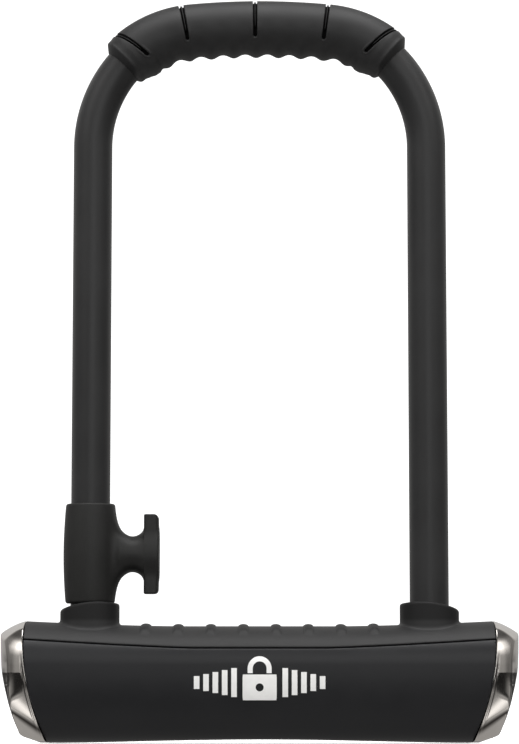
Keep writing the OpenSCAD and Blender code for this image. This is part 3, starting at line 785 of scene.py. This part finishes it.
# ------------------------------------------------------------------ materials
MATERIALS = {
    "coat": mould(
        "coat_vinyl", dark=(0.0125, 0.0125, 0.013), light=(0.018, 0.018, 0.0185), rough=0.42,
        grain=(1400.0, 0.00003), clouds=38.0, ripple=(160.0, 0.00005), spec=0.36,
        rough_span=0.05, sheen=0.06),
    "grip": mould(
        "grip_rubber", dark=(0.0105, 0.0105, 0.011), light=(0.0145, 0.0145, 0.015), rough=0.54,
        grain=(2600.0, 0.00005), clouds=70.0, ripple=(420.0, 0.00004), spec=0.40,
        rough_span=0.06),
    "cover_rubber": mould(
        "cover_rubber", dark=(0.0125, 0.0125, 0.013), light=(0.0175, 0.0175, 0.018), rough=0.56,
        grain=(2800.0, 0.00005), clouds=55.0, ripple=(380.0, 0.00003), spec=0.42,
        rough_span=0.05),
    "cover_plastic": mould(
        "cover_plastic", dark=(0.0120, 0.0123, 0.0138), light=(0.0152, 0.0155, 0.0172),
        rough=0.40, grain=(2200.0, 0.00002), clouds=40.0, ripple=(260.0, 0.00002), spec=0.30,
        rough_span=0.05),
    "bracket": mould(
        "bracket_plastic", dark=(0.0088, 0.0088, 0.0084), light=(0.0135, 0.0135, 0.0130),
        rough=0.50, grain=(1500.0, 0.00008), clouds=80.0, ripple=(500.0, 0.00006), spec=0.34,
        rough_span=0.07),
    "liner": mould(
        "liner_plastic", dark=(0.05, 0.05, 0.05), light=(0.075, 0.075, 0.075), rough=0.38,
        grain=(1800.0, 0.00002), clouds=60.0),
    "seal": mould(
        "seal_rubber", dark=(0.012, 0.012, 0.012), light=(0.02, 0.02, 0.02), rough=0.55,
        grain=(2600.0, 0.00004), clouds=120.0),
    "bush": mould(
        "bush_acetal", dark=(0.62, 0.62, 0.58), light=(0.70, 0.70, 0.66), rough=0.42,
        grain=(1600.0, 0.00002), clouds=90.0),
    "zinc": mould(
        "guide_zinc", dark=(0.36, 0.36, 0.37), light=(0.48, 0.48, 0.49), rough=0.48,
        grain=(1200.0, 0.00006), clouds=150.0, metallic=1.0),
    "cap": mould(
        "cap_nickel", dark=(0.555, 0.528, 0.50), light=(0.625, 0.598, 0.57), rough=0.12,
        grain=(900.0, 0.000004), clouds=90.0, metallic=1.0, rough_span=0.03),
    "black_zinc": mould(
        "fastener_black_zinc", dark=(0.10, 0.10, 0.105), light=(0.19, 0.19, 0.19), rough=0.34,
        grain=(1900.0, 0.00002), clouds=220.0, metallic=1.0, wear=(0.5, 0.5, 0.5)),
    "steel": brushed(
        "drawn_steel", dark=(0.42, 0.425, 0.43), light=(0.56, 0.56, 0.565), rough=0.30,
        stretch=(1.0, 1.0, 0.03)),
    "tube": brushed(
        "tube_steel", dark=(0.36, 0.365, 0.37), light=(0.48, 0.48, 0.485), rough=0.36,
        stretch=(0.03, 1.0, 1.0)),
    "plate": brushed(
        "ground_plate", dark=(0.50, 0.505, 0.51), light=(0.62, 0.62, 0.625), rough=0.26,
        stretch=(0.04, 1.0, 1.0)),
    "hard": brushed(
        "hardened_steel", dark=(0.30, 0.305, 0.32), light=(0.44, 0.44, 0.45), rough=0.30,
        stretch=(1.0, 1.0, 1.0), scale=600.0),
    "brass": brushed(
        "turned_brass", dark=(0.52, 0.37, 0.15), light=(0.66, 0.49, 0.22), rough=0.26,
        stretch=(0.4, 0.4, 3.0), scale=700.0),
    "ink": mould(
        "mark_ink", dark=(0.88, 0.88, 0.87), light=(0.95, 0.95, 0.94), rough=0.45,
        grain=(1500.0, 0.00003), clouds=260.0),
}

# painted shade: darker colour in the caps' crease, in the handle's slots and on the top cover's
# boots and ridges, with duller reflections in the slots and on the boots and ridges
paint_shade("cap", dark=(0.035, 0.03, 0.027))
paint_shade("grip", dark=(0.0015, 0.0015, 0.0015), spec=0.06)
paint_shade("cover_rubber", dark=(0.0075, 0.0075, 0.0078), spec=0.28)

# material: the CAD pieces that wear it
CAD_PIECES = {
    "steel": "shackle_bar",
    "coat": "shackle_coating",
    "grip": "handle_grip",
    "tube": "crossbar_tube left_end_plug right_end_plug",
    "cap": "left_end_cap right_end_cap",
    "black_zinc": "cap_screws cover_screws retaining_clip collar_screw",
    "cover_rubber": "top_cover",
    "cover_plastic": "lower_cover dust_shutter",
    "bush": "left_bushing right_bushing",
    "seal": "foot_seals",
    "zinc": "left_foot_guide right_foot_guide",
    "brass": "cylinder_housing cylinder_plug disc_spacers",
    "plate": "housing_pins sidebar left_bolt right_bolt",
    "hard": "anti_drill_disc code_discs cam",
    "liner": "bracket_liner",
    "bracket": "bracket_collar",
}
for key, pieces in CAD_PIECES.items():
    for piece in pieces.split():
        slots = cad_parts[piece].data.materials
        slots.clear()
        slots.append(MATERIALS[key])


# ------------------------------------------------------------------ build the pieces
def place(obj, material, body, slot, node=None):
    obj.data.materials.append(MATERIALS[material])
    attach(obj, body)
    if node:
        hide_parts(node)


def place_field(name, field, low, high, step, painted_shade=None, **placing):
    """Mesh a field, store its painted shade at each vertex as an attribute, and place the piece.
    """
    obj = quad_object(name, *mesh_field(field, low, high, step * COARSEN))
    if painted_shade:
        coords = np.empty(len(obj.data.vertices) * 3, np.float32)
        obj.data.vertices.foreach_get("co", coords)
        values = painted_shade(coords.reshape(-1, 3).astype(float) / MM).astype(np.float32)
        obj.data.attributes.new("painted_shade", "FLOAT", "POINT").data.foreach_set("value", values)
    place(obj, **placing)


place(make_coating(), "coat", body="shackle", slot="vinyl_coat", node="shackle_coating")
# the handle's slots carry painted shade
place_field("handle_rubber", grip_field, (-66, -13.5, 248), (66, 13.5, 292), step=0.31,
            painted_shade=slot_painted_shade, material="grip", body="shackle", slot="grip_rubber",
            node="handle_grip")
# the top cover's boots and ridges carry painted shade
place_field("top_cover_rubber", top_cover_field, (-92, -21.5, 30), (92, 21.5, 56), step=0.45,
            painted_shade=boot_and_ridge_painted_shade, material="cover_rubber", body="crossbar", slot="cover_rubber",
            node="top_cover")
place_field("lower_cover_shell", lower_cover_field, (-92, -21.5, -1.5), (92, 21.5, 43),
            step=0.52, material="cover_plastic", body="crossbar", slot="cover_plastic",
            node="lower_cover")
# each cap's crease carries painted shade
for side, mirror, low_x, high_x in (("right", 1.0, 77, 101), ("left", -1.0, -101, -77)):
    flip = np.array((mirror, 1, 1))
    place_field(side + "_cap_casting", lambda points: cap_field(points * flip),
                (low_x, -22, -1.5), (high_x, 22, 49), step=0.26,
                painted_shade=lambda points: crease(points * flip), material="cap", body="crossbar",
                slot="cap_nickel", node=side + "_end_cap")
place_field("cap_screw_pair", cap_screws_field, (-88.5, -3.8, 1.8), (88.5, 3.8, 11), step=0.21,
            material="black_zinc", body="crossbar", slot="fastener_steel", node="cap_screws")
place_field("bracket_moulding", collar_field, (-78, -15, 52), (-36, 15, 93), step=0.32,
            material="bracket", body="bracket", slot="bracket_plastic", node="bracket_collar")

# ------------------------------------------------------------------ printed mark
MARK_Z = 23.6
INK_BACK, INK_FACE = 0.02, 0.14                      # heights over the cover's surface
LOCK_HALF_W, LOCK_Z0, LOCK_Z1 = 6.4, MARK_Z - 7.2, MARK_Z + 2.4
KEYHOLE_R = 1.5
STRIP_ROWS = 5


def front_y(x, z):
    """Depth of the lower cover's front surface at (x, z)."""
    height = above_below(z, top_z(x) - WIDE_Z, LOWER_H)
    power = section_power(z)
    return -BODY_Y * (1 - (np.abs(z - WIDE_Z) / height) ** power) ** (1 / power)


def strip(first, second):
    """Vertices and faces of a thin slab between two matching (x, z) point rows."""
    rows = np.stack([first + (second - first) * t for t in np.linspace(0, 1, STRIP_ROWS)], 1)
    x, z = rows[..., 0], rows[..., 1]
    y = front_y(x, z)
    verts = np.concatenate([np.stack([x, y - lift, z], -1).reshape(-1, 3)
                            for lift in (INK_FACE, INK_BACK)])
    width, back = STRIP_ROWS, len(first) * STRIP_ROWS
    last_i, last_j = len(first) - 1, width - 1
    faces = []
    for i in range(last_i):
        for j in range(last_j):
            a, b = i * width + j, (i + 1) * width + j
            quad = [a, b, b + 1, a + 1]
            faces += [quad, [k + back for k in quad[::-1]]]
    for i in range(last_i):
        a, b = i * width, (i + 1) * width
        faces.append([a, a + back, b + back, b])
        a, b = a + last_j, b + last_j
        faces.append([b, b + back, a + back, a])
    end = last_i * width
    for j in range(last_j):
        faces.append([j + 1, j + 1 + back, j + back, j])
        faces.append([end + j, end + j + back, end + j + 1 + back, end + j + 1])
    return verts, faces


def lock_body():
    """Rectangle with a round hole left open in its middle."""
    turn = np.linspace(0, 2 * math.pi, 49)
    way = np.stack([np.cos(turn), np.sin(turn)], 1)
    half_h = (LOCK_Z1 - LOCK_Z0) / 2
    reach = 1 / np.maximum(np.abs(way[:, 0]) / LOCK_HALF_W, np.abs(way[:, 1]) / half_h)
    centre = np.array((0.0, (LOCK_Z0 + LOCK_Z1) / 2))
    hole = centre + KEYHOLE_R * way
    outer = centre + reach[:, None] * way
    hole[-1], outer[-1] = hole[0], outer[0]
    return strip(hole, outer)


def lock_bow():
    turn = np.linspace(math.pi, 0, 33)

    def arch(foot_x, radius, height):
        x = np.concatenate([[-foot_x], radius * np.cos(turn), [foot_x]])
        foot_z = [LOCK_Z1 + 0.5]
        z = np.concatenate([foot_z, LOCK_Z1 + 2.2 + height * np.sin(turn), foot_z])
        return np.stack([x, z], 1)

    return strip(arch(foot_x=4.5, radius=4.5, height=4.6),
                 arch(foot_x=2.6, radius=2.6, height=2.7))


def side_bar(x, half_h):
    across = x - 1.05 + 2.1 * np.linspace(0, 1, 14)
    middle = MARK_Z - 0.6
    return strip(*[np.stack([across, np.full(14, z)], 1)
                   for z in (middle - half_h, middle + half_h)])


def make_mark():
    """A plain padlock between upright bars that get shorter towards both sides."""
    parts = [lock_body(), lock_bow()]
    for i in range(5):
        for side in (-1, 1):
            parts.append(side_bar(side * (9.6 + i * 3.5), 5.4 - i * 0.75))
    faces, start = [], 0
    for part_verts, part_faces in parts:
        faces += [[k + start for k in face] for face in part_faces]
        start += len(part_verts)
    verts = np.concatenate([part[0] for part in parts])
    mesh = bpy.data.meshes.new("front_mark")
    mesh.from_pydata((verts * MM).tolist(), [], faces)
    mesh.validate()
    mesh.update()
    edit = bmesh.new()
    edit.from_mesh(mesh)
    bmesh.ops.remove_doubles(edit, verts=edit.verts, dist=1e-7)
    bmesh.ops.recalc_face_normals(edit, faces=edit.faces)
    edit.to_mesh(mesh)
    edit.free()
    return add_object("front_mark", mesh)


place(make_mark(), "ink", body="crossbar", slot="cover_plastic")


# ------------------------------------------------------------------ floor and lights (metres)
def make_floor(half=6.0, z=-0.0004):
    """White floor, seen by the camera but neither mirrored nor bouncing light."""
    material, _, shader = new_material("floor_white")
    set_inputs(shader, {"Base Color": (0.93, 0.93, 0.93, 1), "Roughness": 0.9,
                        "Specular IOR Level": 0.1, "Emission Color": (1, 1, 1, 1),
                        "Emission Strength": 0.45})
    mesh = bpy.data.meshes.new("floor")
    corners = [(-half, -half, z), (half, -half, z), (half, half, z), (-half, half, z)]
    mesh.from_pydata(corners, [], [(0, 1, 2, 3)])
    mesh.update()
    floor = add_object("floor", mesh)
    mesh.materials.append(material)
    floor.visible_glossy = False
    floor.visible_diffuse = False


def area_light(name, location, target, size, power, mirrored=True):
    light = bpy.data.lights.new(name, "AREA")
    light.shape = "RECTANGLE"
    light.size, light.size_y = size
    light.energy = power
    obj = add_object(name, light)
    obj.location = location
    aim = Vector(target) - Vector(location)
    obj.rotation_euler = aim.to_track_quat("-Z", "Y").to_euler()
    obj.visible_glossy = mirrored


make_floor()
area_light("key_top", (0.05, -0.22, 1.25), target=(0, 0, 0.10), size=(1.3, 0.8), power=13.0)
area_light("front", (0.15, -1.7, 0.50), target=(0, 0, 0.14), size=(1.0, 1.0), power=4.8)
area_light("upper_left", (-1.1, -0.7, 0.75), target=(0, 0, 0.16), size=(0.9, 0.9), power=3.0,
           mirrored=False)
area_light("left_rim", (-1.2, 0.15, 0.30), target=(0, 0, 0.16), size=(0.7, 0.9), power=4.0,
           mirrored=False)

# ------------------------------------------------------------------ world
# Brightness stops: (height of the direction from -1 straight down to 1 straight up, value).
DIFFUSE = ((-1.0, 0.02), (-0.3, 0.06), (0.0, 0.46), (0.12, 0.70), (0.45, 0.95), (1.0, 1.0))
# The rest are mirrored only: soft panels above and below a dark table edge.
GENERAL = (
    (-1.0, 0.50), (-0.66, 0.50), (-0.50, 0.22), (-0.38, 0.08), (-0.15, 0.02), (-0.03, 0.03),
    (0.0, 0.14), (0.30, 0.32), (0.60, 0.45), (0.85, 0.10), (1.0, 0.10))
UPPER_PANEL = ((0.34, 1.0), (0.42, 1.50), (0.56, 1.50), (0.64, 0.50), (0.72, 0.12), (1.0, 0.10))
SIDE = (
    (-1.0, 0.50), (-0.60, 0.45), (-0.56, 1.2), (-0.52, 2.10), (-0.485, 0.70), (-0.46, 0.38),
    (-0.40, 0.55), (-0.34, 0.04), (-0.22, 0.03), (-0.17, 0.02), (-0.04, 0.01), (-0.015, 0.45),
    (0.12, 0.45), (0.22, 0.50)) + UPPER_PANEL
INNER = (
    (-1.0, 0.50), (-0.68, 0.50), (-0.60, 0.45), (-0.56, 1.2), (-0.52, 2.10), (-0.485, 0.70),
    (-0.44, 0.30), (-0.31, 0.22), (-0.25, 0.06), (-0.17, 0.02), (-0.04, 0.01), (-0.015, 0.75),
    (0.12, 0.75), (0.22, 0.70)) + UPPER_PANEL
LOW = (
    (-1.0, 0.50), (-0.68, 0.50), (-0.60, 1.00), (-0.52, 0.50), (-0.42, 0.22), (-0.28, 0.20),
    (-0.20, 0.35), (-0.15, 0.45), (-0.125, 0.28), (-0.10, 0.03), (-0.035, 0.02),
    (-0.015, 0.22), (0.30, 0.25), (0.60, 0.25), (0.72, 0.10), (1.0, 0.10))
BACK = (
    (-1.0, 0.50), (-0.50, 0.50), (-0.30, 0.25), (-0.12, 0.28), (-0.08, 0.35), (-0.06, 0.03),
    (-0.03, 0.03), (-0.015, 0.40), (0.0, 0.45), (0.20, 0.60), (0.55, 0.74), (0.85, 0.12),
    (1.0, 0.10))
# broad soft box high up to both sides of the camera
SOFT_BOX = (
    (-1.0, 0.0), (0.22, 0.0), (0.34, 0.45), (0.42, 1.1), (0.56, 1.1), (0.64, 0.2), (0.70, 0.0),
    (1.0, 0.0))

world = bpy.data.worlds.new("studio")
scene.world = world
world.use_nodes = True
sky = world.node_tree
sky.nodes.clear()
world_output = add_node(sky, "OutputWorld")
sky_coords = add_node(sky, "TexCoord")
direction = add_node(sky, "SeparateXYZ")
connect(sky, (sky_coords.outputs["Generated"], direction.inputs[0]))


def height_light(stops, strength=1.0):
    """Slightly warm background whose brightness follows the height of the direction."""
    height = add_node(sky, "MapRange", {"From Min": -1.0, "From Max": 1.0})
    colours = add_node(sky, "ValToRGB")
    elements = colours.color_ramp.elements
    made = [elements[0]] + [None] * (len(stops) - 2) + [elements[1]]
    for element, (position, value) in zip(made, stops):
        element = element or elements.new((position + 1) / 2)
        if position == 1.0:
            element = elements[len(elements) - 1]
        element.color = (value, value * 0.985, value * 0.965, 1)
    background = add_node(sky, "Background", {"Strength": strength})
    connect(sky, (direction.outputs["Z"], height.inputs["Value"]),
            (height.outputs["Result"], colours.inputs["Fac"]),
            (colours.outputs["Color"], background.inputs["Color"]))
    return background.outputs[0]


def lobe(axis, inner, outer):
    """1 within inner degrees of a level direction, fading to 0 at outer degrees."""
    level = add_node(sky, "CombineXYZ")
    unit = add_node(sky, "VectorMath", operation="NORMALIZE")
    dot = add_node(sky, "VectorMath", {1: Vector(axis).normalized()}, operation="DOT_PRODUCT")
    fade = add_node(sky, "MapRange", {"From Min": math.cos(math.radians(outer)),
                                      "From Max": math.cos(math.radians(inner))},
                    interpolation_type="SMOOTHSTEP")
    connect(sky, (direction.outputs["X"], level.inputs["X"]),
            (direction.outputs["Y"], level.inputs["Y"]), (level.outputs[0], unit.inputs[0]),
            (unit.outputs[0], dot.inputs[0]), (dot.outputs["Value"], fade.inputs["Value"]))
    return fade.outputs["Result"]


def azimuth_mask(azimuth, inner, outer):
    """Lobes at an azimuth in degrees from the camera's side, left and right alike."""
    angle = math.radians(azimuth)
    both = add_node(sky, "Math", operation="MAXIMUM")
    for i, side in enumerate((-1, 1)):
        axis = (side * math.sin(angle), -math.cos(angle), 0)
        connect(sky, (lobe(axis, inner, outer), both.inputs[i]))
    return both.outputs[0]


def mix_light(mask, first, second):
    mix = add_node(sky, "MixShader")
    connect(sky, (mask, mix.inputs["Fac"]), (first, mix.inputs[1]), (second, mix.inputs[2]))
    return mix.outputs[0]


white = (1, 1, 1, 1)
seen = add_node(sky, "Background", {"Color": white, "Strength": 1.3}).outputs[0]
diffuse = height_light(DIFFUSE, strength=1.25)
glossy, side_light, inner_light, low_light, back_light = [
    height_light(stops) for stops in (GENERAL, SIDE, INNER, LOW, BACK)]
for azimuth, inner, outer, light in ((180, 35, 80, back_light), (78, 8, 24, low_light),
                                     (35, 4, 13, inner_light), (50, 3, 11, side_light)):
    glossy = mix_light(azimuth_mask(azimuth, inner, outer), glossy, light)
soft_box = height_light(SOFT_BOX)
unlit = add_node(sky, "Background", {"Strength": 0.0}).outputs[0]
total = add_node(sky, "AddShader")
soft_box = mix_light(azimuth_mask(54, inner=5, outer=17), unlit, soft_box)
connect(sky, (glossy, total.inputs[0]), (soft_box, total.inputs[1]))
ray = add_node(sky, "LightPath")
lighting = mix_light(ray.outputs["Is Glossy Ray"], diffuse, total.outputs[0])
surface = mix_light(ray.outputs["Is Camera Ray"], lighting, seen)
connect(sky, (surface, world_output.inputs["Surface"]))

# ------------------------------------------------------------------ camera
camera_data = bpy.data.cameras.new("camera")
camera_data.sensor_width = 36.0
camera_data.lens = 131.39
camera_data.clip_start, camera_data.clip_end = 0.05, 50.0
camera = add_object("camera", camera_data)
camera.location = (-0.00005, -1.044, 0.02497)
camera.rotation_euler = (math.radians(90 + 6.414), 0, 0)    # tilted up a little
scene.camera = camera
scene.view_settings.view_transform = "Standard"
scene.view_settings.look = "None"
